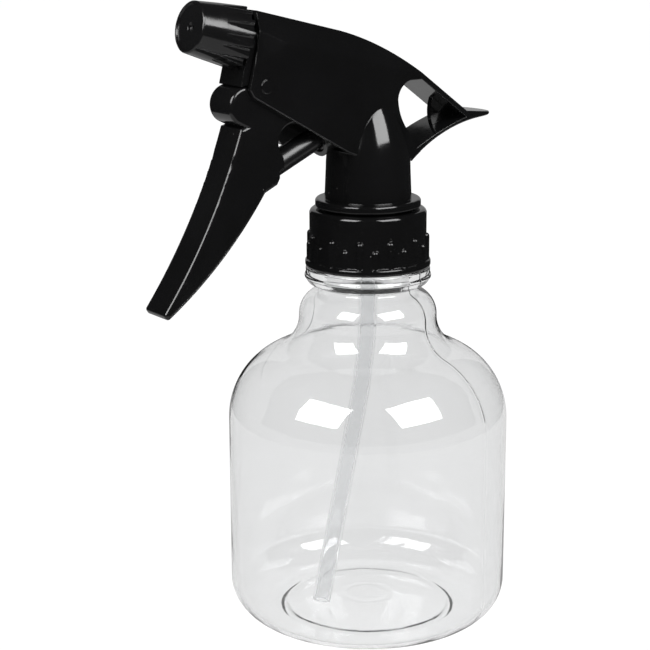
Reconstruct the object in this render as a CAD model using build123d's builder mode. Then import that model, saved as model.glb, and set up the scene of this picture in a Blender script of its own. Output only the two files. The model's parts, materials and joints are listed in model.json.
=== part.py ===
from build123d import *
from math import cos, radians, sin, sqrt, tan
import os

os.makedirs("parts", exist_ok=True)

# A 28 mm trigger sprayer on a clear round bottle, in millimetres.
# Z is up, the origin is the middle of the bottle's base, the nozzle points towards -Y
# and the sprayer head is the same on both sides of the X = 0 plane.

# ---------------------------------------------------------------- driving dimensions
BODY_R = 37.5                # bottle body
WALL = 0.8                   # bottle wall
BASE_CORNER_R = 10.1
STAND_R = 22.5               # inner edge of the ring that the bottle stands on
PUSH_UP = 3.4                # height of the dished base at the middle
SHOULDER_Z = 55.4            # where the straight wall ends
SHOULDER_R = 20.6
SADDLE_X = 27.85             # middle of the hollow curve between the shoulder and the bulge
SADDLE_R = 9.5
BULGE_X = 11.355             # middle of the round edge of the bulge below the neck
BULGE_R = 7.0
NECK_FILLET_R = 1.5
NECK_R = 13.3                # below the support ring
FINISH_R = 12.6              # the plain neck inside the nut
BORE_R = 10.85
RING_R = 16.5                # support ring
RING_TOP_Z = 96.9
RING_GROOVE_Z = 95.5
RING_BEAD_R = 16.8           # the thicker bead under the ring
RING_FOOT_Z = 92.4
NECK_TOP_Z = 108.5
THREAD_R = 13.35
THREAD_HALF_T = 0.9
THREAD_TURNS_Z = (100.4, 104.0)

NUT_Z = 97.1
NUT_TOP_Z = 112.4
NUT_BAND_R = 15.45           # smooth upper band
NUT_RIB_BAND_R = 16.0
NUT_BEAD_R = 16.6            # rolled lower rim
NUT_BORE_R = 13.75
NUT_LIP_T = 1.4
NUT_LIP_R = 11.75
NUT_RIBS = 24
RIB_R = 0.95
RIB_X = 15.35
RIB_TOPS_Z = (103.9, 106.1)  # the ribs end at two heights in turn

GASKET_Z = 108.55
GASKET_T = 1.1
GASKET_R = 12.3
GASKET_BORE_R = 8.2
SKIRT_R = 11.45              # the neck of the sprayer's shroud
SKIRT_TOP_R = 11.1
SKIRT_T = 1.3
SKIRT_Z = 109.7
SKIRT_FOOT_R = 12.9          # the rim that the nut holds down
SKIRT_FOOT_T = 1.1
COVER_FLANGE_R = 13.9        # the rim above the nut
COVER_FLANGE_Z = 112.75
COVER_FLANGE_T = 2.35
DOME_Z = 123.2               # where the skirt starts to close in
DOME_R = 30.0
DOME_TURN = 37.0             # how far round its arc the dome goes, in degrees

NOZZLE_Y = -54.0             # middle of the nozzle's front face
NOZZLE_Z = 162.5
PITCH = 14.0                 # the barrel rises this much towards the front, in degrees
SHROUD_HALF = 6.5
SHROUD_T = 1.2
SHROUD_FRONT = 16.5          # stations along the barrel, from the nozzle's front face
ROOF_V = 7.3                 # heights above the barrel's axis
ROOF_HALF = 2.6              # half width of the flat ridge
ROOF_EDGE_V = 1.1            # where the sloping roof meets the side
FRONT_FOOT_V = -12.0
TAIL_TIP_Y = 39.4
TAIL_RIB_HALF = 0.7

PIVOT_Y = -40.9              # trigger hinge
PIVOT_Z = 142.7
BOSS_R = 4.9
TRIGGER_HALF = 5.0
TRIGGER_EDGE_R = 0.9
PIN_R = 1.2
PIN_HALF = 4.4
LUG_R = 3.1
LUG_HALF = 3.2

PUMP_TILT = 24.2             # the piston's line rises this much towards the rear, in degrees
LEVER = 19.1                 # from the trigger hinge to the piston's line
ROD_R = 3.1
MOUTH = 17.0                 # stations along the piston's line, from the foot of the lever
BORE_END = 31.5
CYLINDER_R = 5.2
PUMP_BORE_R = 3.9
PISTON_R = 3.75
PISTON_FRONT = 17.6
PISTON_L = 3.0
SEAL_W = 0.7
SEAL_GROOVE_R = 3.15
SEAL_R = 3.83

RISER_R = 3.8                # upright tube of the pump body
CHANNEL_R = 1.3
DISCHARGE_R = 3.2            # tube from the riser to the barrel
RISER_TOP_Z = 151.0
CHANNEL_TOP_Z = 149.4
SOCKET_R = 4.7               # wide foot of the riser
SOCKET_TOP_Z = 122.5
BALL_R = 1.6
SEAT_R = 1.2
SEAT_Z = 118.0
SPIGOT_R = 3.1               # the tube holder's plug in the socket
CHAMBER_R = 1.9
CHAMBER_TOP_Z = 121.5

BARREL_R = 4.6
BARREL_FRONT = 2.6
BARREL_BORE_R = 2.6
VALVE_SEAT = 12.0
OUTLET_BALL_R = 1.5
PLATE_FRONT = 14.7
PLATE_T = 3.0
CAP_L = 14.2
CAP_FRONT_R = 6.4
CAP_MID_R = 7.1
CAP_REAR_R = 7.9
CAP_MID = 6.4
CAP_BORE_R = 5.0
CAP_FACE_T = 2.0
CAP_FLUTES = 16

TUBE_R = 2.4                 # dip tube
TUBE_BORE_R = 1.7
TUBE_TOP_Z = 113.5
TUBE_BEND_Z = 86.0
TUBE_BEND_R = 115.0
TUBE_LEAN = 13.0             # lean of the tube's lower run, in degrees
TUBE_END_Z = 5.5

GAP = 0.05                   # between pieces that are assembled tight
RUNNING = 0.3                # between pieces that move past each other

# ---------------------------------------------------------------- frames
pitch = radians(PITCH)
pump_tilt = radians(PUMP_TILT)

# Local x runs rearwards along the barrel from the nozzle's face, local y is up from it.
BARREL_SIDE = Plane(
    origin=(0, NOZZLE_Y, NOZZLE_Z), x_dir=(0, cos(pitch), -sin(pitch)), z_dir=(1, 0, 0)
)
BARREL_AXIS = Axis((0, NOZZLE_Y, NOZZLE_Z), (0, cos(pitch), -sin(pitch)))

# Local x runs rearwards along the piston's line, from the foot of the lever.
FOOT_Y = PIVOT_Y + LEVER * sin(pump_tilt)
FOOT_Z = PIVOT_Z - LEVER * cos(pump_tilt)
PUMP_SIDE = Plane(
    origin=(0, FOOT_Y, FOOT_Z), x_dir=(0, cos(pump_tilt), sin(pump_tilt)), z_dir=(1, 0, 0)
)
PUMP_AXIS = Axis((0, FOOT_Y, FOOT_Z), (0, cos(pump_tilt), sin(pump_tilt)))


def barrel_point(station, height):
    """A point of the X = 0 plane, as (y, z), given along and above the barrel."""
    return (
        NOZZLE_Y + station * cos(pitch) + height * sin(pitch),
        NOZZLE_Z - station * sin(pitch) + height * cos(pitch),
    )


def barrel_plane(station):
    """A plane across the barrel that faces forwards, with local y up the barrel's side."""
    y, z = barrel_point(station, 0)
    return Plane(origin=(0, y, z), x_dir=(1, 0, 0), z_dir=(0, -cos(pitch), sin(pitch)))


def pump_plane(station):
    """A plane across the piston's line that faces rearwards and up."""
    y = FOOT_Y + station * cos(pump_tilt)
    z = FOOT_Z + station * sin(pump_tilt)
    return Plane(origin=(0, y, z), x_dir=(1, 0, 0), z_dir=(0, cos(pump_tilt), sin(pump_tilt)))


def write_part(builder, label):
    builder.part.label = label
    export_step(builder.part, f"parts/{label}.step")


# ---------------------------------------------------------------- bottle
# Middles of the four arcs between the wall and the neck, each tangent to the next.
shoulder_at = Vector(BODY_R - SHOULDER_R, SHOULDER_Z)
saddle_rise = sqrt((SHOULDER_R + SADDLE_R) ** 2 - (SADDLE_X - shoulder_at.X) ** 2)
saddle_at = Vector(SADDLE_X, SHOULDER_Z + saddle_rise)
bulge_rise = sqrt((SADDLE_R + BULGE_R) ** 2 - (SADDLE_X - BULGE_X) ** 2)
bulge_at = Vector(BULGE_X, saddle_at.Y + bulge_rise)
neck_rise = sqrt((BULGE_R + NECK_FILLET_R) ** 2 - (NECK_R + NECK_FILLET_R - BULGE_X) ** 2)
neck_at = Vector(NECK_R + NECK_FILLET_R, bulge_at.Y + neck_rise)


def between(start, end, distance):
    """The point at the given distance from start towards end."""
    return start + (end - start).normalized() * distance


def bottle_face(inset):
    """Half section of the bottle up to the support ring, as a filled face shrunk by inset."""
    stand_x = STAND_R - 0.6 * inset
    foot_x = BODY_R - BASE_CORNER_R
    middle_z = PUSH_UP + inset
    wall_top = Vector(BODY_R - inset, SHOULDER_Z)
    shoulder_end = between(shoulder_at, saddle_at, SHOULDER_R - inset)
    saddle_end = between(saddle_at, bulge_at, SADDLE_R + inset)
    bulge_end = between(bulge_at, neck_at, BULGE_R - inset)
    neck_end = Vector(NECK_R - inset, neck_at.Y)
    with BuildSketch(Plane.YZ) as section:
        with BuildLine():
            Line((0, neck_at.Y), (0, middle_z))
            ThreePointArc((0, middle_z), (0.55 * stand_x, middle_z - 0.55), (stand_x, inset + 1.1))
            Line((stand_x, inset + 1.1), (stand_x + 1.3, inset))
            Line((stand_x + 1.3, inset), (foot_x, inset))
            RadiusArc((foot_x, inset), (BODY_R - inset, BASE_CORNER_R), inset - BASE_CORNER_R)
            Line((BODY_R - inset, BASE_CORNER_R), wall_top)
            RadiusArc(wall_top, shoulder_end, inset - SHOULDER_R)
            RadiusArc(shoulder_end, saddle_end, SADDLE_R + inset)
            RadiusArc(saddle_end, bulge_end, inset - BULGE_R)
            RadiusArc(bulge_end, neck_end, NECK_FILLET_R + inset)
            Line(neck_end, (0, neck_at.Y))
        make_face()
    return section.sketch


with BuildPart() as bottle:
    revolve(bottle_face(0), axis=Axis.Z)
    with BuildSketch(Plane.YZ) as finish:
        with BuildLine():
            Polyline(
                (0, neck_at.Y - 1),
                (NECK_R, neck_at.Y - 1),
                (NECK_R, RING_FOOT_Z),
                (RING_BEAD_R - 1.2, RING_FOOT_Z + 0.5),
                (RING_BEAD_R, RING_FOOT_Z + 1.8),
                (RING_BEAD_R, RING_GROOVE_Z - 0.2),
                (RING_R, RING_GROOVE_Z),
                (RING_R, RING_TOP_Z),
                (FINISH_R, RING_TOP_Z),
                (FINISH_R, NECK_TOP_Z),
                (0, NECK_TOP_Z),
                close=True,
            )
        make_face()
        bead_corners = finish.vertices().filter_by(lambda v: v.X > RING_R - 1.2)
        fillet(bead_corners.filter_by(lambda v: v.Y < RING_GROOVE_Z - 1), radius=0.8)
        ring_corners = finish.vertices().filter_by(lambda v: v.X > RING_R - 0.01)
        fillet(ring_corners.sort_by(Axis.Y)[-1], radius=0.5)
    revolve(axis=Axis.Z)
    for turn_z in THREAD_TURNS_Z:
        with BuildSketch(Plane.YZ):
            with BuildLine():
                Polyline(
                    (FINISH_R - 0.5, turn_z - THREAD_HALF_T),
                    (FINISH_R, turn_z - THREAD_HALF_T),
                    (THREAD_R, turn_z - 0.3),
                    (THREAD_R, turn_z + 0.3),
                    (FINISH_R, turn_z + THREAD_HALF_T),
                    (FINISH_R - 0.5, turn_z + THREAD_HALF_T),
                    close=True,
                )
            make_face()
        revolve(axis=Axis.Z)
    revolve(bottle_face(WALL), axis=Axis.Z, mode=Mode.SUBTRACT)
    with BuildSketch(Plane.YZ):
        with BuildLine():
            Polyline(
                (0, neck_at.Y),
                (NECK_R - WALL, neck_at.Y),
                (BORE_R, neck_at.Y + 2),
                (BORE_R, NECK_TOP_Z),
                (0, NECK_TOP_Z),
                close=True,
            )
        make_face()
    revolve(axis=Axis.Z, mode=Mode.SUBTRACT)
write_part(bottle, "bottle")

# ---------------------------------------------------------------- dip tube
lean = radians(TUBE_LEAN)
bend_end = (-TUBE_BEND_R * (1 - cos(lean)), TUBE_BEND_Z - TUBE_BEND_R * sin(lean))
bend_mid = (-TUBE_BEND_R * (1 - cos(lean / 2)), TUBE_BEND_Z - TUBE_BEND_R * sin(lean / 2))
tube_end = (bend_end[0] - (bend_end[1] - TUBE_END_Z) * tan(lean), TUBE_END_Z)

with BuildPart() as dip_tube:
    with BuildLine(Plane.YZ):
        Line((0, TUBE_TOP_Z), (0, TUBE_BEND_Z))
        ThreePointArc((0, TUBE_BEND_Z), bend_mid, bend_end)
        Line(bend_end, tube_end)
    with BuildSketch(Plane.XY.offset(TUBE_TOP_Z)):
        Circle(TUBE_R)
        Circle(TUBE_BORE_R, mode=Mode.SUBTRACT)
    sweep()
write_part(dip_tube, "dip_tube")

# ---------------------------------------------------------------- closure nut and gasket
with BuildPart() as closure_nut:
    with BuildSketch(Plane.YZ):
        with BuildLine():
            Polyline(
                (NUT_BORE_R, NUT_Z),
                (NUT_BEAD_R, NUT_Z),
                (NUT_BEAD_R, NUT_Z + 1.6),
                (NUT_RIB_BAND_R, NUT_Z + 2.0),
                (NUT_BAND_R, NUT_Z + 8.6),
                (NUT_BAND_R, NUT_TOP_Z),
                (NUT_LIP_R, NUT_TOP_Z),
                (NUT_LIP_R, NUT_TOP_Z - NUT_LIP_T),
                (NUT_BORE_R, NUT_TOP_Z - NUT_LIP_T),
                close=True,
            )
        make_face()
    revolve(axis=Axis.Z)
    rim_edges = closure_nut.edges().filter_by(GeomType.CIRCLE)
    fillet(
        rim_edges.filter_by(lambda e: e.radius > NUT_BAND_R - 0.1).filter_by_position(
            Axis.Z, NUT_TOP_Z - 0.1, NUT_TOP_Z + 0.1
        ),
        radius=1.2,
    )
    fillet(rim_edges.filter_by(lambda e: e.radius > NUT_BEAD_R - 0.1), radius=0.6)
    for index in range(NUT_RIBS):
        rib_top_z = RIB_TOPS_Z[index % 2]
        rib_base = Plane.XY.offset(NUT_Z + 1.0)
        rib_end = Plane.XY.offset(rib_top_z - RIB_R)
        with BuildSketch(rib_base):
            with PolarLocations(RIB_X, 1, start_angle=index * 360 / NUT_RIBS):
                Circle(RIB_R)
        extrude(amount=rib_top_z - RIB_R - NUT_Z - 1.0)
        with Locations(rib_end):
            with PolarLocations(RIB_X, 1, start_angle=index * 360 / NUT_RIBS):
                Sphere(RIB_R)
write_part(closure_nut, "closure_nut")

with BuildPart() as neck_gasket:
    with BuildSketch(Plane.XY.offset(GASKET_Z)):
        Circle(GASKET_R)
        Circle(GASKET_BORE_R, mode=Mode.SUBTRACT)
    extrude(amount=GASKET_T)
write_part(neck_gasket, "neck_gasket")

# ---------------------------------------------------------------- shroud
RIDGE_BEND_Y = -11.0         # the ridge is straight in front of this, then curves down
RIDGE_STRAIGHT_Y = 10.5
TAIL_SLOPE = radians(36)
APEX = (27.9, 134.6)         # rear corner of the tail window
WINDOW_TOP = (12.6, 145.7)
WINDOW_FOOT = (11.2, 127.9)

ridge_front = barrel_point(SHROUD_FRONT, ROOF_V)
ridge_bend = (RIDGE_BEND_Y, ridge_front[1] - (RIDGE_BEND_Y - ridge_front[0]) * tan(pitch))
ridge_mid = (0.6, ridge_bend[1] - 4.35)
ridge_straight = (RIDGE_STRAIGHT_Y, ridge_bend[1] - 10.2)
TAIL_NOTCH_Y = 28.3          # where the roof's slope meets the tongue
tail_notch_z = ridge_straight[1] - (TAIL_NOTCH_Y - RIDGE_STRAIGHT_Y) * tan(TAIL_SLOPE)
tail_notch = (TAIL_NOTCH_Y, tail_notch_z)
front_foot = barrel_point(SHROUD_FRONT, FRONT_FOOT_V)
low_front = (-39.7, 144.9)
low_rear = (-10.8, 128.5)
TONGUE_TOP_Z = 135.0
TONGUE_T = 0.8


# The inside of the hood, open at the front, below and at the tail window.
inner_half = SHROUD_HALF - SHROUD_T
inner_front = barrel_point(SHROUD_FRONT - 2, ROOF_V - SHROUD_T)
inner_bend = (RIDGE_BEND_Y, ridge_bend[1] - SHROUD_T / cos(pitch))
inner_mid = (ridge_mid[0] - 0.4, ridge_mid[1] - SHROUD_T - 0.1)
inner_straight = (ridge_straight[0], ridge_straight[1] - 1.9)
roof_run = SHROUD_HALF - ROOF_HALF + 1.0
roof_rise = (ROOF_V - ROOF_EDGE_V) * roof_run / (SHROUD_HALF - ROOF_HALF)


def roof_wedge(side, half, edge_v):
    """Corners of the wedge above one sloping side of a roof, on a plane across the barrel."""
    return (
        (side * half, edge_v),
        (side * (half + 3), edge_v),
        (side * (half + 3), edge_v + roof_rise),
        (side * (half - roof_run), edge_v + roof_rise),
    )


with BuildPart() as hood_core:
    with BuildSketch(Plane.YZ):
        with BuildLine():
            Line(inner_front, inner_bend)
            ThreePointArc(inner_bend, inner_mid, inner_straight)
            Line(inner_straight, APEX)
            ThreePointArc(APEX, (19.5, 131.8), WINDOW_FOOT)
            Polyline(
                WINDOW_FOOT, (9.0, 128.5), (-11.4, 128.5), (-13, 127.2),
                (-41.5, 143.6), barrel_point(SHROUD_FRONT - 2, FRONT_FOOT_V - 3), inner_front,
            )
        make_face()
    extrude(amount=inner_half, both=True)
    for side in (1, -1):
        with BuildSketch(barrel_plane(SHROUD_FRONT - 3)):
            with BuildLine():
                Polyline(*roof_wedge(side, inner_half, ROOF_EDGE_V - 0.6), close=True)
            make_face()
        extrude(amount=-80, mode=Mode.SUBTRACT)

dome_turn = radians(DOME_TURN)
dome_top = (SKIRT_TOP_R - DOME_R * (1 - cos(dome_turn)), DOME_Z + DOME_R * sin(dome_turn))
dome_bore_top = (dome_top[0] - SKIRT_T * cos(dome_turn), dome_top[1] - SKIRT_T * sin(dome_turn))

with BuildPart() as shroud:
    # the outside: a flat-sided hood with a sloping roof
    with BuildSketch(Plane.YZ):
        with BuildLine():
            Line(ridge_front, ridge_bend)
            ThreePointArc(ridge_bend, ridge_mid, ridge_straight)
            Line(ridge_straight, tail_notch)
            Line(tail_notch, (TAIL_TIP_Y, TONGUE_TOP_Z))
            Line((TAIL_TIP_Y, TONGUE_TOP_Z), (TAIL_TIP_Y, TONGUE_TOP_Z - TONGUE_T))
            ThreePointArc((9.6, 124.5), (22.6, 131.9), (TAIL_TIP_Y, TONGUE_TOP_Z - TONGUE_T))
            Polyline((9.6, 124.5), (8, 126), (-8, 127.5), low_rear, low_front, front_foot, ridge_front)
        make_face()
    extrude(amount=SHROUD_HALF, both=True)
    for side in (1, -1):
        with BuildSketch(barrel_plane(SHROUD_FRONT - 1)):
            with BuildLine():
                Polyline(*roof_wedge(side, SHROUD_HALF, ROOF_EDGE_V), close=True)
            make_face()
        extrude(amount=-80, mode=Mode.SUBTRACT)
    # a shallow facet on each front upper corner
    for side in (1, -1):
        facet_low = BARREL_SIDE.from_local_coords(Vector(19.3, -3.9, side * SHROUD_HALF))
        facet_high = BARREL_SIDE.from_local_coords(Vector(25.2, 1.5, side * SHROUD_HALF))
        facet_front = BARREL_SIDE.from_local_coords(Vector(17.5, 1.1, side * (SHROUD_HALF - 0.7)))
        outward = (facet_high - facet_low).cross(facet_front - facet_low)
        split(bisect_by=Plane(origin=facet_low, z_dir=outward * side), keep=Keep.BOTTOM)
    # the tongue is round in plan
    with BuildSketch(Plane.XY.offset(100)):
        with Locations((0, TAIL_TIP_Y)):
            Rectangle(3 * SHROUD_HALF, 2 * SHROUD_HALF)
        with Locations((0, TAIL_TIP_Y - SHROUD_HALF)):
            Circle(SHROUD_HALF, mode=Mode.SUBTRACT)
    extrude(amount=60, mode=Mode.SUBTRACT)
    fillet(shroud.faces().filter_by(Plane.YZ).edges(), radius=0.4)
    # the neck skirt with its domed top
    with BuildSketch(Plane.YZ):
        with BuildLine():
            Line((0, SKIRT_Z), (SKIRT_FOOT_R, SKIRT_Z))
            Line((SKIRT_FOOT_R, SKIRT_Z), (SKIRT_FOOT_R, SKIRT_Z + SKIRT_FOOT_T))
            Line((SKIRT_FOOT_R, SKIRT_Z + SKIRT_FOOT_T), (SKIRT_R, SKIRT_Z + SKIRT_FOOT_T))
            Line((SKIRT_R, SKIRT_Z + SKIRT_FOOT_T), (SKIRT_R, COVER_FLANGE_Z + COVER_FLANGE_T))
            Line((SKIRT_R, COVER_FLANGE_Z + COVER_FLANGE_T), (SKIRT_TOP_R, DOME_Z))
            RadiusArc((SKIRT_TOP_R, DOME_Z), dome_top, -DOME_R)
            Line(dome_top, (0, dome_top[1]))
            Line((0, dome_top[1]), (0, SKIRT_Z))
        make_face()
    revolve(axis=Axis.Z)
    with BuildSketch(Plane.XY.offset(COVER_FLANGE_Z)):
        Circle(COVER_FLANGE_R)
    extrude(amount=COVER_FLANGE_T)
    flange_rims = shroud.edges().filter_by(GeomType.CIRCLE)
    fillet(flange_rims.filter_by(lambda e: abs(e.radius - COVER_FLANGE_R) < 0.01), radius=0.7)
    # the small round boss low on each side of the hood
    with BuildSketch(Plane.YZ):
        with Locations((-36.0, 147.4)):
            Circle(1.7)
    extrude(amount=SHROUD_HALF + 0.35, both=True)
    # the inside of the hood
    add(hood_core.part, mode=Mode.SUBTRACT)
    # the window in the tail, through both sides
    with BuildSketch(Plane.YZ):
        with BuildLine():
            Line(WINDOW_TOP, APEX)
            ThreePointArc(APEX, (19.5, 131.8), WINDOW_FOOT)
            Line(WINDOW_FOOT, (8.8, 131.9))
            ThreePointArc((8.8, 131.9), (5.7, 136.8), (4.8, 141.0))
            ThreePointArc((4.8, 141.0), (5.9, 143.9), (8.7, 145.7))
            Line((8.7, 145.7), WINDOW_TOP)
        make_face()
    extrude(amount=2 * SHROUD_HALF, both=True, mode=Mode.SUBTRACT)
    # a rib joins the two tail plates in the middle
    with BuildSketch(Plane.YZ):
        with BuildLine():
            Line((29.4, 134.8), (21.2, 140.6))
            ThreePointArc((21.2, 140.6), (20.2, 136.4), (21.2, 131.8))
            Line((21.2, 131.8), (29.4, 134.8))
        make_face()
    extrude(amount=TAIL_RIB_HALF, both=True)
    # the bore of the skirt
    with BuildSketch(Plane.YZ):
        with BuildLine():
            Line((0, SKIRT_Z - 1), (SKIRT_R - SKIRT_T, SKIRT_Z - 1))
            Line((SKIRT_R - SKIRT_T, SKIRT_Z - 1), (SKIRT_R - SKIRT_T, COVER_FLANGE_Z))
            Line((SKIRT_R - SKIRT_T, COVER_FLANGE_Z), (SKIRT_TOP_R - SKIRT_T, DOME_Z))
            RadiusArc((SKIRT_TOP_R - SKIRT_T, DOME_Z), dome_bore_top, SKIRT_T - DOME_R)
            Line(dome_bore_top, (0, dome_bore_top[1]))
            Line((0, dome_bore_top[1]), (0, SKIRT_Z - 1))
        make_face()
    revolve(axis=Axis.Z, mode=Mode.SUBTRACT)
write_part(shroud, "shroud")

# ---------------------------------------------------------------- pump body
BASE_DISC_Z = 111.0
BASE_DISC_T = 1.4
BASE_DISC_R = SKIRT_R - SKIRT_T - GAP
riser_station = (0 - NOZZLE_Y) / cos(pitch)
riser_pump_station = (0 - FOOT_Y) / cos(pump_tilt)

with BuildPart() as pump_body:
    with BuildSketch(Plane.XY.offset(BASE_DISC_Z)):
        Circle(BASE_DISC_R)
    extrude(amount=BASE_DISC_T)
    with BuildSketch(Plane.XY.offset(BASE_DISC_Z)):
        Circle(SOCKET_R)
    extrude(amount=SOCKET_TOP_Z - BASE_DISC_Z)
    with BuildSketch(Plane.XY.offset(BASE_DISC_Z)):
        Circle(RISER_R)
    extrude(amount=RISER_TOP_Z - BASE_DISC_Z)
    with BuildSketch(pump_plane(MOUTH)):
        Circle(CYLINDER_R)
    extrude(amount=riser_pump_station - MOUTH)
    with BuildSketch(barrel_plane(PLATE_FRONT + 1)):
        Circle(DISCHARGE_R)
    extrude(amount=-(riser_station - PLATE_FRONT - 1))
    # the front block under the barrel, hollowed to clear the trigger's round top
    with BuildSketch(barrel_plane(PLATE_FRONT)):
        with Locations((0, FRONT_FOOT_V / 2)):
            Rectangle(2 * TRIGGER_HALF, -FRONT_FOOT_V)
        Circle(BARREL_R)
    extrude(amount=-PLATE_T)
    with BuildSketch(Plane.YZ):
        with Locations((PIVOT_Y, PIVOT_Z)):
            Circle(BOSS_R + RUNNING)
    extrude(amount=2 * TRIGGER_HALF, both=True, mode=Mode.SUBTRACT)
    # the middle web carries the hinge lug and ties the block to the cylinder
    with BuildSketch(Plane.YZ):
        with BuildLine():
            Polyline(
                barrel_point(PLATE_FRONT + 3.2, FRONT_FOOT_V - 1),
                barrel_point(PLATE_FRONT + 3.2, 0),
                barrel_point(riser_station - 1, 0),
                (0, 139),
                (-14, 138.5),
                (-18.2, 135.8),
                (-27.6, 131.6),
                (PIVOT_Y + LUG_R, PIVOT_Z - 0.5),
                close=True,
            )
        make_face()
    extrude(amount=0.8, both=True)
    with BuildSketch(Plane.YZ):
        with Locations((PIVOT_Y, PIVOT_Z)):
            Circle(LUG_R)
        with BuildLine():
            Polyline(
                barrel_point(PLATE_FRONT + 3.2, FRONT_FOOT_V - 4.2),
                barrel_point(PLATE_FRONT + 3.2, FRONT_FOOT_V + 5),
                barrel_point(PLATE_FRONT + 6.4, FRONT_FOOT_V + 5),
                barrel_point(PLATE_FRONT + 6.4, FRONT_FOOT_V - 4.2),
                close=True,
            )
        make_face()
    extrude(amount=LUG_HALF, both=True)
    with BuildSketch(Plane.YZ):
        with Locations((PIVOT_Y, PIVOT_Z)):
            Circle(PIN_R + GAP)
    extrude(amount=2 * LUG_HALF, both=True, mode=Mode.SUBTRACT)
    # the threaded barrel
    with BuildSketch(barrel_plane(BARREL_FRONT)):
        Circle(BARREL_R - 0.3)
    extrude(amount=-(PLATE_FRONT - BARREL_FRONT))
    for station in (6.0, 8.0, 10.0):
        with BuildSketch(barrel_plane(station)):
            Circle(BARREL_R)
        extrude(amount=-0.9)
    # bores: barrel, channel, cylinder and its port, riser, ball chamber and socket
    with BuildSketch(barrel_plane(BARREL_FRONT)):
        Circle(BARREL_BORE_R)
    extrude(amount=-(VALVE_SEAT - BARREL_FRONT), mode=Mode.SUBTRACT)
    with BuildSketch(barrel_plane(VALVE_SEAT)):
        Circle(CHANNEL_R)
    extrude(amount=-(riser_station - VALVE_SEAT), mode=Mode.SUBTRACT)
    with BuildSketch(pump_plane(MOUTH)):
        Circle(PUMP_BORE_R)
    extrude(amount=BORE_END - MOUTH, mode=Mode.SUBTRACT)
    with BuildSketch(pump_plane(BORE_END)):
        Circle(0.8)
    extrude(amount=riser_pump_station - BORE_END, mode=Mode.SUBTRACT)
    with BuildSketch(Plane.XY.offset(BASE_DISC_Z)):
        Circle(SPIGOT_R + GAP)
    extrude(amount=SEAT_Z + GAP - BASE_DISC_Z, mode=Mode.SUBTRACT)
    with BuildSketch(Plane.XY.offset(SEAT_Z)):
        Circle(CHAMBER_R)
    extrude(amount=CHAMBER_TOP_Z - SEAT_Z, mode=Mode.SUBTRACT)
    with BuildSketch(Plane.XY.offset(CHAMBER_TOP_Z)):
        Circle(CHANNEL_R + 0.2)
    extrude(amount=CHANNEL_TOP_Z - CHAMBER_TOP_Z, mode=Mode.SUBTRACT)
    # the air vent of the bottle
    with BuildSketch(Plane.XY.offset(BASE_DISC_Z)):
        with Locations((0, 7.5)):
            Circle(0.6)
    extrude(amount=BASE_DISC_T, mode=Mode.SUBTRACT)
write_part(pump_body, "pump_body")

# ---------------------------------------------------------------- tube holder and inlet ball
RETAINER_DISC_T = 1.2
RETAINER_FOOT_Z = 103.0
RETAINER_SOCKET_R = 3.6

with BuildPart() as tube_holder:
    with BuildSketch(Plane.XY.offset(SKIRT_Z)):
        Circle(BASE_DISC_R - 0.2)
    extrude(amount=RETAINER_DISC_T)
    with BuildSketch(Plane.XY.offset(RETAINER_FOOT_Z)):
        Circle(RETAINER_SOCKET_R)
    extrude(amount=SKIRT_Z - RETAINER_FOOT_Z)
    with BuildSketch(Plane.XY.offset(SKIRT_Z)):
        Circle(SPIGOT_R)
    extrude(amount=SEAT_Z - SKIRT_Z)
    with BuildSketch(Plane.XY.offset(RETAINER_FOOT_Z)):
        Circle(TUBE_R)
    extrude(amount=TUBE_TOP_Z - RETAINER_FOOT_Z, mode=Mode.SUBTRACT)
    with BuildSketch(Plane.XY.offset(TUBE_TOP_Z)):
        Circle(SEAT_R)
    extrude(amount=SEAT_Z - TUBE_TOP_Z, mode=Mode.SUBTRACT)
    with BuildSketch(Plane.XY.offset(SKIRT_Z)):
        with Locations((0, 7.5)):
            Circle(0.6)
    extrude(amount=RETAINER_DISC_T, mode=Mode.SUBTRACT)
write_part(tube_holder, "tube_holder")

BALL_CLEAR = 0.03
with BuildPart() as inlet_ball:
    with Locations((0, 0, SEAT_Z + sqrt(BALL_R**2 - SEAT_R**2) + BALL_CLEAR)):
        Sphere(BALL_R)
write_part(inlet_ball, "inlet_ball")

# ---------------------------------------------------------------- piston, its seals and spring
SEAL_STATIONS = (PISTON_FRONT + 0.35, PISTON_FRONT + PISTON_L - 0.35 - SEAL_W)

with BuildPart() as piston:
    with BuildSketch(PUMP_SIDE):
        with BuildLine():
            RadiusArc((-ROD_R, 0), (0, ROD_R), ROD_R)
            Polyline(
                (0, ROD_R),
                (PISTON_FRONT, ROD_R),
                (PISTON_FRONT, PISTON_R),
                (PISTON_FRONT + PISTON_L, PISTON_R),
                (PISTON_FRONT + PISTON_L, 0),
                (-ROD_R, 0),
            )
        make_face()
        for station in SEAL_STATIONS:
            with Locations((station + SEAL_W / 2, PISTON_R)):
                Rectangle(SEAL_W, 2 * (PISTON_R - SEAL_GROOVE_R), mode=Mode.SUBTRACT)
    revolve(axis=PUMP_AXIS)
write_part(piston, "piston")

for seal_name, station in zip(("vent_seal", "piston_seal"), SEAL_STATIONS):
    with BuildPart() as seal:
        with BuildSketch(pump_plane(station)):
            Circle(SEAL_R)
            Circle(SEAL_GROOVE_R, mode=Mode.SUBTRACT)
        extrude(amount=SEAL_W)
    write_part(seal, seal_name)

SPRING_WIRE_R = 0.22
SPRING_R = 3.1
SPRING_COILS = 5
spring_start = PISTON_FRONT + PISTON_L + SPRING_WIRE_R + GAP
spring_length = BORE_END - SPRING_WIRE_R - GAP - spring_start

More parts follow.
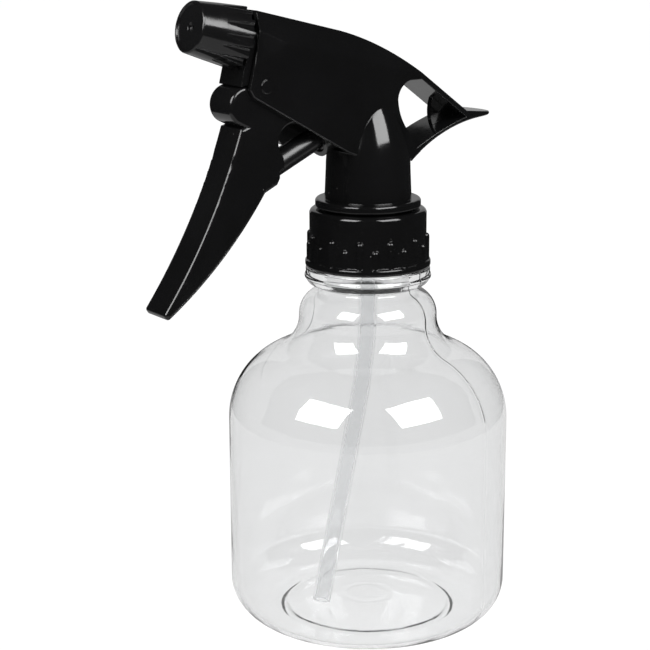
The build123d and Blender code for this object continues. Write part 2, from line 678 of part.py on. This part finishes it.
with BuildPart() as return_spring:
    with BuildLine() as spring_path:
        Helix(
            pitch=spring_length / SPRING_COILS,
            height=spring_length,
            radius=SPRING_R,
            center=pump_plane(spring_start).origin,
            direction=pump_plane(spring_start).z_dir,
        )
    with BuildSketch(Plane(origin=spring_path.line @ 0, z_dir=spring_path.line % 0)):
        Circle(SPRING_WIRE_R)
    sweep()
write_part(return_spring, "return_spring")

# ---------------------------------------------------------------- trigger and its pin
front_top = (-42.6, 137.3)
front_mid = (-49.2, 120.9)
front_low = (-65.7, 93.8)
toe = (-64.6, 92.2)
heel = (-35.6, 120.7)


def boss_point(turn):
    """A point of the hinge boss's outline, at turn degrees up from the rear."""
    return (PIVOT_Y + BOSS_R * cos(radians(turn)), PIVOT_Z + BOSS_R * sin(radians(turn)))


with BuildPart() as trigger:
    with BuildSketch(Plane.YZ) as trigger_side:
        with BuildLine():
            ThreePointArc(front_top, front_mid, front_low)
            Line(front_low, toe)
            ThreePointArc(toe, (-48.2, 105.7), heel)
            Polyline(
                heel, (-31.9, 122.4), (-31.0, 124.0), (-31.0, 125.3), (-29.7, 126.4),
                (-29.8, 129.0), (-31.2, 131.6),
            )
            ThreePointArc((-31.2, 131.6), (-30.4, 135.6), (-26.0, 137.2))
            Polyline(
                (-26.0, 137.2), (-24.6, 138.0), (-25.2, 141.0), (-31.5, 143.8), boss_point(45),
            )
            ThreePointArc(boss_point(45), boss_point(140), boss_point(235))
            Line(boss_point(235), (PIVOT_Y - 0.6, 137.6))
            Line((PIVOT_Y - 0.6, 137.6), front_top)
        make_face()
        fillet(trigger_side.vertices().sort_by(Axis.Y)[:2], radius=0.8)
    extrude(amount=TRIGGER_HALF, both=True)
    fillet(trigger.faces().filter_by(Plane.YZ).edges(), radius=TRIGGER_EDGE_R)
    # the channel inside, open to the rear
    with BuildSketch(Plane.YZ):
        with BuildLine():
            Line((front_top[0] + 1.9, 137.5), (front_top[0] + 1.9, 136.5))
            ThreePointArc(
                (front_top[0] + 1.9, 136.5), (front_mid[0] + 1.8, front_mid[1] - 0.8), (-62.0, 94.6)
            )
            Polyline((-62.0, 94.6), (-50, 96), (-20, 118), (-20, 150), (PIVOT_Y + 0.4, 150))
            Line((PIVOT_Y + 0.4, 150), (PIVOT_Y + 0.4, PIVOT_Z + LUG_R + RUNNING))
            ThreePointArc(
                (PIVOT_Y + 0.4, PIVOT_Z + LUG_R + RUNNING),
                (PIVOT_Y - LUG_R - RUNNING, PIVOT_Z),
                (PIVOT_Y - 0.6, PIVOT_Z - LUG_R - RUNNING),
            )
            Line((PIVOT_Y - 0.6, PIVOT_Z - LUG_R - RUNNING), (front_top[0] + 1.9, 137.5))
        make_face()
    extrude(amount=LUG_HALF + RUNNING, both=True, mode=Mode.SUBTRACT)
    # the wall that pushes the piston rod
    with BuildSketch(PUMP_SIDE):
        with Locations((-ROD_R - 0.2 - 0.8, 0.35)):
            Rectangle(1.6, 5.1)
    extrude(amount=LUG_HALF + RUNNING + 0.2, both=True)
    # blind holes for the pin
    with BuildSketch(Plane.YZ):
        with Locations((PIVOT_Y, PIVOT_Z)):
            Circle(PIN_R)
    extrude(amount=PIN_HALF, both=True, mode=Mode.SUBTRACT)
write_part(trigger, "trigger")

with BuildPart() as pivot_pin:
    with BuildSketch(Plane.YZ):
        with Locations((PIVOT_Y, PIVOT_Z)):
            Circle(PIN_R)
    extrude(amount=PIN_HALF, both=True)
write_part(pivot_pin, "pivot_pin")

# ---------------------------------------------------------------- nozzle
outlet_ball_station = VALVE_SEAT - sqrt(OUTLET_BALL_R**2 - CHANNEL_R**2) - BALL_CLEAR
SWIRL_REAR = 7.4
SWIRL_R = BARREL_BORE_R - GAP

with BuildPart() as outlet_ball:
    with Locations(barrel_plane(outlet_ball_station)):
        Sphere(OUTLET_BALL_R)
write_part(outlet_ball, "outlet_ball")

outlet_spring_start = SWIRL_REAR + 0.2
outlet_spring_length = outlet_ball_station - OUTLET_BALL_R - 0.2 - outlet_spring_start
with BuildPart() as outlet_spring:
    with BuildLine() as outlet_path:
        Helix(
            pitch=outlet_spring_length / 3,
            height=outlet_spring_length,
            radius=1.2,
            center=barrel_plane(outlet_spring_start + outlet_spring_length).origin,
            direction=barrel_plane(outlet_spring_start).z_dir,
        )
    with BuildSketch(Plane(origin=outlet_path.line @ 0, z_dir=outlet_path.line % 0)):
        Circle(0.15)
    sweep()
write_part(outlet_spring, "outlet_spring")

with BuildPart() as swirl_insert:
    with BuildSketch(barrel_plane(BARREL_FRONT + 0.1)):
        Circle(SWIRL_R)
    extrude(amount=-(SWIRL_REAR - BARREL_FRONT - 0.1))
    with BuildSketch(barrel_plane(BARREL_FRONT + 0.1)):
        with PolarLocations(SWIRL_R, 4):
            Rectangle(1.4, 0.9)
    extrude(amount=-(SWIRL_REAR - BARREL_FRONT - 0.1), mode=Mode.SUBTRACT)
    with BuildSketch(barrel_plane(BARREL_FRONT + 0.1)):
        Circle(0.8)
    extrude(amount=-0.5, mode=Mode.SUBTRACT)
write_part(swirl_insert, "swirl_insert")

with BuildPart() as nozzle_cap:
    with BuildSketch(BARREL_SIDE):
        with BuildLine():
            Polyline(
                (0.5, 0), (0.5, CAP_FRONT_R - 0.9), (0, CAP_FRONT_R - 0.7),
                (0, CAP_FRONT_R - 0.35), (0.35, CAP_FRONT_R),
                (CAP_MID, CAP_MID_R), (CAP_L, CAP_REAR_R), (CAP_L, CAP_BORE_R),
                (CAP_FACE_T, CAP_BORE_R), (CAP_FACE_T, 0), (0.5, 0),
            )
        make_face()
    revolve(axis=BARREL_AXIS)
    # tapering flutes, deeper towards the rear
    for index in range(CAP_FLUTES):
        turn = Rotation(0, 0, index * 360 / CAP_FLUTES)
        with BuildSketch(barrel_plane(CAP_L + 0.1) * turn):
            with Locations((0, CAP_REAR_R + 0.3)):
                Circle(1.3)
        with BuildSketch(barrel_plane(CAP_MID) * turn):
            with Locations((0, CAP_MID_R + 0.2)):
                Circle(0.28)
        loft(mode=Mode.SUBTRACT)
    # the spray hole
    with BuildSketch(barrel_plane(0)):
        Circle(0.3)
    extrude(amount=-CAP_FACE_T - 1, mode=Mode.SUBTRACT)
    with BuildSketch(barrel_plane(0.5)):
        Circle(1.3)
    extrude(amount=-0.7, taper=35, mode=Mode.SUBTRACT)
write_part(nozzle_cap, "nozzle_cap")

with BuildPart() as nozzle_seal:
    with BuildSketch(barrel_plane(CAP_FACE_T + GAP / 2)):
        Circle(4.4)
        Circle(2.8, mode=Mode.SUBTRACT)
    extrude(amount=-(BARREL_FRONT - CAP_FACE_T - GAP))
write_part(nozzle_seal, "nozzle_seal")
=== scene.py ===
import json
import math

import bmesh
import bpy
from mathutils import Matrix, Vector


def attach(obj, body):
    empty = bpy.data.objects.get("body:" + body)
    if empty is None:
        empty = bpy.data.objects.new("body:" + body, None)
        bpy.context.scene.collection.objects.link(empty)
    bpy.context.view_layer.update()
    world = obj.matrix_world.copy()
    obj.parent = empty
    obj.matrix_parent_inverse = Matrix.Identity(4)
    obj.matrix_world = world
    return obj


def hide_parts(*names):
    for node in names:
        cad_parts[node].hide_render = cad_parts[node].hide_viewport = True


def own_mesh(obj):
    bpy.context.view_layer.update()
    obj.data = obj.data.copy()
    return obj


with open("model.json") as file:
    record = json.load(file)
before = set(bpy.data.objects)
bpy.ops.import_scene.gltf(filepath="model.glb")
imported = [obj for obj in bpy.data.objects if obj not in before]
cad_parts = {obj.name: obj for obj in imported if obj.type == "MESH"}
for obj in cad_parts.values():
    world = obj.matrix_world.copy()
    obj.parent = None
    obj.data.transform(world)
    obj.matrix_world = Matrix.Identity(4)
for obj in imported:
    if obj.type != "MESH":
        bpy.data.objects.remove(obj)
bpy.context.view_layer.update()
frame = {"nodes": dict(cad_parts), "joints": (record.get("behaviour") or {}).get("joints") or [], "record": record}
nodes = frame["nodes"]
MM = 0.001  # Blender works in metres


# ---------------------------------------------------------------- material helpers
class Nodes:
    """A small wrapper for building one node material."""

    def __init__(self, name):
        self.material = bpy.data.materials.new(name)
        self.material.use_nodes = True
        self.tree = self.material.node_tree
        self.shader = self.tree.nodes["Principled BSDF"]
        coords = self.tree.nodes.new("ShaderNodeTexCoord")
        self.place = coords.outputs["Object"]

    def link(self, source, target):
        self.tree.links.new(source, target)

    def noise(self, scale, detail=3.0, rough=0.5, stretch=None):
        """Noise over the object, in cycles per metre, stretched along an axis if asked."""
        node = self.tree.nodes.new("ShaderNodeTexNoise")
        node.inputs["Scale"].default_value = scale
        node.inputs["Detail"].default_value = detail
        node.inputs["Roughness"].default_value = rough
        place = self.place
        if stretch:
            mapping = self.tree.nodes.new("ShaderNodeMapping")
            mapping.inputs["Scale"].default_value = stretch
            self.link(place, mapping.inputs["Vector"])
            place = mapping.outputs["Vector"]
        self.link(place, node.inputs["Vector"])
        return node.outputs["Fac"]

    def specks(self, scale, size):
        """1 on small scattered round specks and 0 elsewhere."""
        node = self.tree.nodes.new("ShaderNodeTexVoronoi")
        node.inputs["Scale"].default_value = scale
        self.link(self.place, node.inputs["Vector"])
        return self.span(node.outputs["Distance"], size, size * 0.5, 0.0, 1.0)

    def span(self, value, low, high, to_low, to_high):
        """The value mapped from one range to another, held at the ends."""
        node = self.tree.nodes.new("ShaderNodeMapRange")
        node.clamp = True
        node.inputs["From Min"].default_value = low
        node.inputs["From Max"].default_value = high
        node.inputs["To Min"].default_value = to_low
        node.inputs["To Max"].default_value = to_high
        self.link(value, node.inputs["Value"])
        return node.outputs["Result"]

    def math(self, kind, a, b):
        """The result of a math node for two numbers or sockets."""
        node = self.tree.nodes.new("ShaderNodeMath")
        node.operation = kind
        for socket, value in zip(node.inputs, (a, b)):
            if isinstance(value, (int, float)):
                socket.default_value = value
            else:
                self.link(value, socket)
        return node.outputs[0]

    def mix(self, fac, a, b):
        """A colour between a and b."""
        node = self.tree.nodes.new("ShaderNodeMix")
        node.data_type = "RGBA"
        self.link(fac, node.inputs[0])
        for socket, value in ((node.inputs[6], a), (node.inputs[7], b)):
            if isinstance(value, tuple):
                socket.default_value = (*value, 1.0)
            else:
                self.link(value, socket)
        return node.outputs[2]

    def soft_edges(self, radius):
        """A normal that rounds the sharp edges by a small radius."""
        node = self.tree.nodes.new("ShaderNodeBevel")
        node.samples = 6
        node.inputs["Radius"].default_value = radius
        return node.outputs["Normal"]

    def bump(self, height, strength, distance, onto=None):
        """A normal that follows the height, on top of another normal if given."""
        node = self.tree.nodes.new("ShaderNodeBump")
        node.inputs["Strength"].default_value = strength
        node.inputs["Distance"].default_value = distance
        self.link(height, node.inputs["Height"])
        if onto is not None:
            self.link(onto, node.inputs["Normal"])
        return node.outputs["Normal"]

    def feed(self, **sockets):
        """Sets or links the shader's sockets; an underscore stands for a space."""
        for name, value in sockets.items():
            socket = self.shader.inputs[name.replace("_", " ")]
            if isinstance(value, bpy.types.NodeSocket):
                self.link(value, socket)
            else:
                socket.default_value = value


DUST = (0.16, 0.16, 0.155)
EDGE_ROUNDING = 0.35 * MM  # of the black mouldings' sharp edges
RIPPLE_DEPTH = 0.6 * MM
GRAIN_DEPTH = 0.05 * MM


def black_plastic(name, shade, rough, wave, grain):
    """Glossy moulded black plastic: slow ripples, a fine grain, faint rubbing and a little dust."""
    m = Nodes(name)
    cloud = m.noise(70, 4)
    rub = m.noise(900, 5, 0.65, stretch=(1.0, 0.25, 1.0))
    base = m.mix(cloud, (shade * 0.7,) * 3, (shade * 1.3, shade * 1.3, shade * 1.38))
    dusty_places = m.span(m.noise(55, 1), 0.56, 0.66, 0.0, 0.75)
    dust = m.math("MULTIPLY", m.specks(420, 0.07), dusty_places)
    m.feed(Base_Color=m.mix(dust, base, DUST))
    level = m.math("ADD", m.math("MULTIPLY", cloud, 0.6), m.math("MULTIPLY", rub, 0.4))
    m.feed(Roughness=m.span(level, 0.35, 0.65, *rough))
    ripple = m.bump(m.noise(95, 2), wave, RIPPLE_DEPTH, m.soft_edges(EDGE_ROUNDING))
    m.feed(Normal=m.bump(m.noise(2600, 3), grain, GRAIN_DEPTH, ripple))
    m.feed(IOR=1.5, Specular_IOR_Level=0.5)
    return m.material


def clear_plastic(name):
    """Clear blown bottle plastic: slow thickness ripples and faint hazy scuffs."""
    m = Nodes(name)
    cloud = m.noise(45, 2)
    m.feed(Base_Color=m.mix(cloud, (0.845, 0.848, 0.85), (0.875, 0.878, 0.88)))
    scuff = m.noise(700, 4, 0.7, stretch=(1.0, 1.0, 0.35))
    m.feed(Roughness=m.span(scuff, 0.55, 0.8, 0.0, 0.03))
    slow = m.bump(m.noise(38, 2, 0.45, stretch=(1.0, 1.0, 0.5)), 0.32, 1.2 * MM)
    m.feed(Normal=m.bump(m.noise(260, 2), 0.12, 0.12 * MM, slow))
    m.feed(IOR=1.52, Transmission_Weight=1.0, Specular_IOR_Level=0.5)
    return m.material


def natural_plastic(name, tint, see_through):
    """Unpigmented milky plastic, as on the valve pieces."""
    m = Nodes(name)
    cloud = m.noise(160, 3)
    m.feed(Base_Color=m.mix(cloud, tuple(0.95 * c for c in tint), tint))
    m.feed(Roughness=m.span(m.noise(300, 3), 0.3, 0.7, 0.22, 0.34))
    m.feed(Normal=m.bump(m.noise(150, 2, 0.5, stretch=(1.0, 1.0, 0.2)), 0.1, 0.1 * MM))
    m.feed(IOR=1.49, Transmission_Weight=see_through)
    return m.material


def tube_plastic(name):
    """Thin extruded tube, almost clear, with faint draw lines along its length."""
    m = Nodes(name)
    lines = m.noise(420, 3, 0.6, stretch=(1.0, 1.0, 0.04))
    m.feed(Base_Color=m.mix(lines, (0.89, 0.895, 0.9), (0.945, 0.948, 0.95)))
    m.feed(Roughness=m.span(m.noise(120, 2), 0.3, 0.7, 0.05, 0.12))
    m.feed(Normal=m.bump(lines, 0.06, 0.05 * MM))
    m.feed(IOR=1.12, Transmission_Weight=1.0)
    return m.material


def rubber(name, tint):
    """Matt rubber or foam with a fine grain."""
    m = Nodes(name)
    m.feed(Base_Color=m.mix(m.noise(400, 3), tuple(0.8 * c for c in tint), tint))
    m.feed(Roughness=m.span(m.noise(1200, 4), 0.3, 0.7, 0.5, 0.72))
    m.feed(Normal=m.bump(m.noise(2200, 4), 0.4, 0.06 * MM))
    return m.material


def drawn_steel(name):
    """Bright spring wire with faint draw marks."""
    m = Nodes(name)
    m.feed(Base_Color=m.mix(m.noise(600, 3), (0.5, 0.5, 0.51), (0.68, 0.68, 0.69)), Metallic=1.0)
    m.feed(Roughness=m.span(m.noise(1800, 3, 0.6, stretch=(1, 1, 6)), 0.3, 0.7, 0.16, 0.32))
    m.feed(Normal=m.bump(m.noise(3000, 2), 0.2, 0.03 * MM))
    return m.material


finish = {
    "bottle_clear": clear_plastic("clear bottle plastic"),
    "tube_natural": tube_plastic("tube plastic"),
    "valve_natural": natural_plastic("valve plastic", (0.86, 0.86, 0.84), see_through=0.15),
    "gasket_foam": rubber("gasket foam", (0.75, 0.75, 0.72)),
    "head_black": black_plastic("hood plastic", 0.0035, (0.06, 0.13), wave=0.10, grain=0.08),
    "body_black": black_plastic("pump plastic", 0.0035, (0.08, 0.17), wave=0.10, grain=0.10),
    "trigger_black": black_plastic("trigger plastic", 0.0035, (0.08, 0.17), wave=0.12, grain=0.10),
    "cap_black": black_plastic("cap plastic", 0.0045, (0.09, 0.19), wave=0.14, grain=0.12),
    "nut_black": black_plastic("nut plastic", 0.0035, (0.06, 0.13), wave=0.10, grain=0.08),
    "piston_black": black_plastic("piston plastic", 0.0045, (0.18, 0.32), wave=0.10, grain=0.12),
    "pin_black": black_plastic("pin plastic", 0.005, (0.20, 0.35), wave=0.10, grain=0.12),
    "seal_rubber": rubber("seal rubber", (0.03, 0.03, 0.032)),
    "steel": drawn_steel("drawn steel"),
}
for entry in frame["record"]["subparts"]:
    piece = nodes[entry["node"]]
    piece.data.materials.clear()
    piece.data.materials.append(finish[entry["material_slot"]])


# ---------------------------------------------------------------- shape helper
def smooth_object(name, bm):
    """A smooth-shaded object from a finished bmesh."""
    mesh = bpy.data.meshes.new(name)
    bm.to_mesh(mesh)
    bm.free()
    mesh.shade_smooth()
    obj = bpy.data.objects.new(name, mesh)
    bpy.context.scene.collection.objects.link(obj)
    return obj


# ---------------------------------------------------------------- clear bottle
# The section, in mm from the axis and from the base. Each arc is given by its centre and its
# radius, and the four above the straight wall are tangent to one another.
BODY_R = 37.49
WALL = 0.8
FOOT, FOOT_R = (27.4, 10.1), 10.09
SHOULDER, SHOULDER_R = (16.9, 55.4), 20.59
SADDLE, SADDLE_R = (27.85, 83.438), 9.5
BULGE, BULGE_R = (11.355, 83.844), 7.0
COLLAR, COLLAR_R = (14.8, 91.614), 1.5
STAND_R = 22.5                        # inner edge of the ring that the bottle stands on
EDGE_OUT, EDGE_R = 1.6, 1.1           # that edge's rounding: its centre's distance out, radius
PUSH_UP, DISH_POWER = 3.4, 2.2        # height of the dished base at the middle, and its curve
GATE_AT, GATE_W = 0.27, 0.05          # groove round the gate, in shares of the dish's radius
GATE_DEPTH = 0.12
DISH_STEPS = 40
FINISH_R, NECK_TOP = 12.6, 108.5      # the neck outside between its rings, and the rim
BORE_R, BORE_FOOT = 10.85, 93.6       # the neck inside, and where that begins
THREAD_RINGS = (100.4, 104.0)         # heights of the two rings that stand for the thread

SEAM = math.radians(108)              # the mould's parting line, from the -Y side towards +X
SEAM_HALF = 0.45                      # half width of the parting line, in degrees
SEAM_HEIGHT = 0.15
SEAM_FADE_Z = 60                      # it hardly shows below this height
FAR_SEAM = 0.3                        # the parting line on the far side is fainter
LATHE_STEPS = 180


def arc(middle, radius, start, end, steps):
    """Points of an arc in the (r, z) plane, angles in degrees from +r."""
    turns = (math.radians(start + (end - start) * i / steps) for i in range(steps + 1))
    return [(middle[0] + radius * math.cos(t), middle[1] + radius * math.sin(t)) for t in turns]


def heading(a, b):
    """Direction from a to b in the (r, z) plane, in degrees."""
    return math.degrees(math.atan2(b[1] - a[1], b[0] - a[0]))


def dish_height(t, middle, rim):
    """Height of the dished base at the share t of its radius, with a groove round the gate."""
    groove = GATE_DEPTH * math.exp(-((t - GATE_AT) / GATE_W) ** 2)
    return middle + (rim - middle) * t ** DISH_POWER - groove


def body_profile(inset):
    """The bottle's section from its base, near the axis, up to the neck, shrunk by inset."""
    stand, rim = STAND_R - 0.6 * inset, inset + EDGE_R
    shares = (i / DISH_STEPS for i in range(1, DISH_STEPS + 1))
    dish = [(stand * t, dish_height(t, PUSH_UP + inset, rim)) for t in shares]
    wall_run = SHOULDER[1] - FOOT[1]
    lift, lean, rise = heading(SHOULDER, SADDLE), heading(SADDLE, BULGE), heading(BULGE, COLLAR)
    return (
        dish
        + arc((stand + EDGE_OUT, rim), EDGE_R, -150, -90, 6)[1:]
        + arc(FOOT, FOOT_R - inset, -90, 0, 22)
        + [(BODY_R - inset, FOOT[1] + wall_run * i / 12) for i in range(1, 12)]
        + arc(SHOULDER, SHOULDER_R - inset, 0, lift, 30)
        + arc(SADDLE, SADDLE_R + inset, 180 + lift, lean, 18)[1:]
        + arc(BULGE, BULGE_R - inset, lean - 180, rise, 20)[1:]
        + arc(COLLAR, COLLAR_R + inset, 180 + rise, 180, 8)[1:]
    )


def neck_profile():
    """The outside of the neck: the support ring with its bead, the thread's rings and the lip."""
    bead = [(13.3, 92.4)] + arc((15.2, 93.2), 0.75, -80, -40, 4)
    bead += arc((15.95, 94.45), 0.85, -30, 50, 8)
    ring = [(16.45, 95.5)] + arc((16.0, 96.4), 0.5, 0, 90, 5)
    ring += [(13.0, 96.95), (FINISH_R, 97.3)]
    thread = []
    for z in THREAD_RINGS:
        thread += [(FINISH_R, z - 0.9), (13.1, z - 0.5), (13.3, z), (13.1, z + 0.5)]
        thread += [(FINISH_R, z + 0.9)]
    lip = [(FINISH_R, NECK_TOP - 0.6), (12.2, NECK_TOP), (11.1, NECK_TOP), (BORE_R, NECK_TOP - 0.3)]
    return bead + ring + thread + lip


def seam_swell(angle):
    """Share of the parting line's height at an angle round the bottle."""
    half = math.radians(SEAM_HALF)
    near = abs(math.remainder(angle - SEAM, 2 * math.pi))
    far = abs(math.remainder(angle - SEAM - math.pi, 2 * math.pi))
    return max(0.0, 1 - near / half) + FAR_SEAM * max(0.0, 1 - far / half)


def lathe(name, loop):
    """A closed turned solid from a closed loop of (r, z, share of the parting line's height)."""
    angles = [2 * math.pi * i / LATHE_STEPS for i in range(LATHE_STEPS)]
    for side in (0, math.pi):
        for offset in (-SEAM_HALF, -0.5 * SEAM_HALF, 0.5 * SEAM_HALF, SEAM_HALF):
            angles.append((SEAM + side + math.radians(offset)) % (2 * math.pi))
    angles = sorted(set(round(a, 6) for a in angles))
    bm = bmesh.new()
    rings = []
    for r, z, raised in loop:
        ring = []
        for a in angles:
            radius = (r + SEAM_HEIGHT * raised * seam_swell(a)) * MM
            ring.append(bm.verts.new((radius * math.sin(a), -radius * math.cos(a), z * MM)))
        rings.append(ring)
    for low, high in zip(rings, rings[1:] + rings[:1]):
        for j in range(len(angles)):
            k = (j + 1) % len(angles)
            bm.faces.new((low[j], low[k], high[k], high[j]))
    bmesh.ops.remove_doubles(bm, verts=bm.verts, dist=1e-7)
    bmesh.ops.dissolve_degenerate(bm, edges=bm.edges, dist=1e-8)
    bmesh.ops.delete(bm, geom=[e for e in bm.edges if e.is_wire], context="EDGES")
    bmesh.ops.recalc_face_normals(bm, faces=bm.faces)
    return smooth_object(name, bm)


# The parting line is clear on the shoulder, fainter on the neck and faintest on the wall.
outside = [(0.0, PUSH_UP, 0.0)]
outside += [(r, z, 1.0 if z > SEAM_FADE_Z else 0.2) for r, z in body_profile(0)]
outside += [(r, z, 0.6) for r, z in neck_profile()]
inside = [(0.0, PUSH_UP + WALL, 0.0)]
inside += [(r, z, 0.0) for r, z in body_profile(WALL) + [(BORE_R, BORE_FOOT)]]
bottle = lathe("clear_bottle", outside + inside[::-1])
bottle.data.materials.append(finish["bottle_clear"])
bottle.visible_shadow = False
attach(bottle, "bottle")
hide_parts("bottle")

# ---------------------------------------------------------------- springs
COIL_STEPS, WIRE_SIDES = 28, 10  # rings of points in one turn of a coil, and points in a ring
CLOSED_RISE = 2.1                # rise of the closed turn at each end, in wire radii


def coil_spring(name, node, joint_name, turns, wire):
    """A wire spring with closed ends in a CAD spring's place, wound along its joint's axis."""
    joint = next(j for j in frame["joints"] if j["name"] == joint_name)
    axis, origin = Vector(joint["axis"]).normalized(), Vector(joint["pos_m"])
    side = Vector((1, 0, 0))
    across = axis.cross(side)
    spots = [v.co - origin for v in nodes[node].data.vertices]
    along = [spot.dot(axis) for spot in spots]
    low, high = min(along), max(along)
    radius = max((spot - axis * a).length for spot, a in zip(spots, along)) - wire
    closed = CLOSED_RISE * wire
    rise = (high - low - 2 * wire - 2 * closed) / (turns - 2)
    bm = bmesh.new()
    rings = []
    for i in range(COIL_STEPS * turns + 1):
        turn = i / COIL_STEPS
        open_turns = min(max(turn - 1, 0), turns - 2)
        station = low + wire + (turn - open_turns) * closed + open_turns * rise
        angle = 2 * math.pi * turn
        outward = side * math.cos(angle) + across * math.sin(angle)
        centre = origin + axis * station + outward * radius
        ring = []
        for j in range(WIRE_SIDES):
            t = 2 * math.pi * j / WIRE_SIDES
            ring.append(bm.verts.new(centre + (outward * math.cos(t) + axis * math.sin(t)) * wire))
        rings.append(ring)
    for a, b in zip(rings, rings[1:]):
        for j in range(WIRE_SIDES):
            k = (j + 1) % WIRE_SIDES
            bm.faces.new((a[j], a[k], b[k], b[j]))
    bm.faces.new(rings[0])
    bm.faces.new(rings[-1])
    bmesh.ops.recalc_face_normals(bm, faces=bm.faces)
    obj = smooth_object(name, bm)
    obj.data.materials.append(finish["steel"])
    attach(obj, "sprayer")
    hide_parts(node)
    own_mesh(obj)


coil_spring("pump_spring", "return_spring", "piston_stroke", 7, 0.22 * MM)
coil_spring("valve_spring", "outlet_spring", "outlet_lift", 5, 0.15 * MM)

# ---------------------------------------------------------------- floor, light and camera
CAMERA_AZIMUTH, CAMERA_ELEVATION, CAMERA_ROLL = 54, 14.61, 0.214  # degrees
CAMERA_DISTANCE, CAMERA_LENS = 0.4815, 99.69     # metres, and mm on a 36 mm sensor
CAMERA_SIDE, CAMERA_AIM_Z = -0.01142, 0.08043    # the point that the camera looks at
FLOOR_REACH, FLOOR_HALF = 14.0, 9.0              # towards the camera and to each side
SWEEP_START, SWEEP_R, SWEEP_TOP = 0.9, 0.6, 2.4  # the curve behind the object and its top edge
BOX_ELEVATION, BOX_DISTANCE = 37, 0.75           # of both softboxes, from the point they face
BOX_AIM_Z = 0.08
BOX_W, BOX_H, BOX_POWER = 0.5, 0.42, 6.2         # metres, and watts
STAGE_SHADE = 0.04


def glowing(name, glow):
    """A matt surface that glows evenly and reflects little."""
    m = Nodes(name)
    m.feed(Base_Color=m.mix(m.noise(6, 2), (0.985 * STAGE_SHADE,) * 3, (STAGE_SHADE,) * 3))
    m.feed(Roughness=0.6, Emission_Color=(1.0, 1.0, 1.0, 1.0), Emission_Strength=glow)
    return m.material


def sweep_floor(glow):
    """A pale floor that curves up behind the object, facing the camera."""
    bends = (math.pi / 2 * i / 12 for i in range(13))
    run = [(-FLOOR_REACH, 0.0), (-0.5, 0.0), (0.5, 0.0)]
    run += [(SWEEP_START + SWEEP_R * math.sin(t), SWEEP_R - SWEEP_R * math.cos(t)) for t in bends]
    run += [(SWEEP_START + SWEEP_R, SWEEP_TOP)]
    bm = bmesh.new()
    left, right = (
        [bm.verts.new((side, y, z)) for y, z in run] for side in (-FLOOR_HALF, FLOOR_HALF)
    )
    for i in range(len(run) - 1):
        bm.faces.new((left[i], right[i], right[i + 1], left[i + 1]))
    obj = smooth_object("floor", bm)
    obj.rotation_euler = (0, 0, math.radians(CAMERA_AZIMUTH))
    obj.data.materials.append(glowing("floor", glow))
    obj.visible_glossy = False


def gloss_only(obj, glow):
    """Makes a stage object that only the gloss of the object sees."""
    bpy.context.scene.collection.objects.link(obj)
    obj.data.materials.append(glowing(obj.name, glow))
    obj.visible_camera = obj.visible_diffuse = obj.visible_transmission = False
    obj.visible_shadow = False


def floor_patch(radius):
    """The lit part of the floor round the object."""
    bm = bmesh.new()
    bmesh.ops.create_circle(bm, cap_ends=True, segments=96, radius=radius)
    mesh = bpy.data.meshes.new("floor_near")
    bm.to_mesh(mesh)
    bm.free()
    obj = bpy.data.objects.new("floor_near", mesh)
    obj.location = (0, 0, -0.4 * MM)
    return obj


def back_card(distance, half_width, height):
    """The lit backdrop behind the object, opposite the camera."""
    mesh = bpy.data.meshes.new("backdrop_card")
    corners = [(-half_width, 0), (half_width, 0), (half_width, height), (-half_width, height)]
    mesh.from_pydata([(x, distance, z) for x, z in corners], [], [(0, 1, 2, 3)])
    obj = bpy.data.objects.new("backdrop_card", mesh)
    obj.rotation_euler = (0, 0, math.radians(CAMERA_AZIMUTH))
    return obj


def away(azimuth, elevation):
    """The direction away from the object; azimuth 0 is the -Y side and 90 the +X side."""
    a, e = math.radians(azimuth), math.radians(elevation)
    return Vector((math.sin(a) * math.cos(e), -math.cos(a) * math.cos(e), math.sin(e)))


def softbox(name, azimuth):
    """A rectangular light that faces the object."""
    out = away(azimuth, BOX_ELEVATION)
    data = bpy.data.lights.new(name, "AREA")
    data.shape = "RECTANGLE"
    data.size, data.size_y = BOX_W, BOX_H
    data.energy = BOX_POWER
    light = bpy.data.objects.new(name, data)
    light.location = out * BOX_DISTANCE + Vector((0, 0, BOX_AIM_Z))
    light.rotation_mode = "QUATERNION"
    light.rotation_quaternion = (-out).to_track_quat("-Z", "Y")
    bpy.context.scene.collection.objects.link(light)


sweep_floor(glow=0.97)
gloss_only(floor_patch(radius=0.3), glow=0.5)
gloss_only(back_card(distance=1.2, half_width=0.6, height=0.9), glow=0.4)
softbox("box left", azimuth=9)
softbox("box right", azimuth=100)

world = bpy.data.worlds.new("studio")
world.use_nodes = True
background = world.node_tree.nodes["Background"]
background.inputs["Color"].default_value = (0.95, 0.97, 1.0, 1.0)
background.inputs["Strength"].default_value = 0.02
bpy.context.scene.world = world
bpy.context.scene.view_settings.view_transform = "Standard"

camera_data = bpy.data.cameras.new("camera")
camera_data.sensor_width = 36.0
camera_data.lens = CAMERA_LENS
camera_data.clip_start, camera_data.clip_end = 0.01, 20.0
camera = bpy.data.objects.new("camera", camera_data)
bpy.context.scene.collection.objects.link(camera)
turn, roll = math.radians(CAMERA_AZIMUTH), math.radians(CAMERA_ROLL)
right = Vector((math.cos(turn), math.sin(turn), 0))
back = away(CAMERA_AZIMUTH, CAMERA_ELEVATION)
up = back.cross(right)
across = right * math.cos(roll) - up * math.sin(roll)
upward = right * math.sin(roll) + up * math.cos(roll)
camera.rotation_mode = "QUATERNION"
camera.rotation_quaternion = Matrix((across, upward, back)).transposed().to_quaternion()
camera.location = right * CAMERA_SIDE + Vector((0, 0, CAMERA_AIM_Z)) + back * CAMERA_DISTANCE
bpy.context.scene.camera = camera
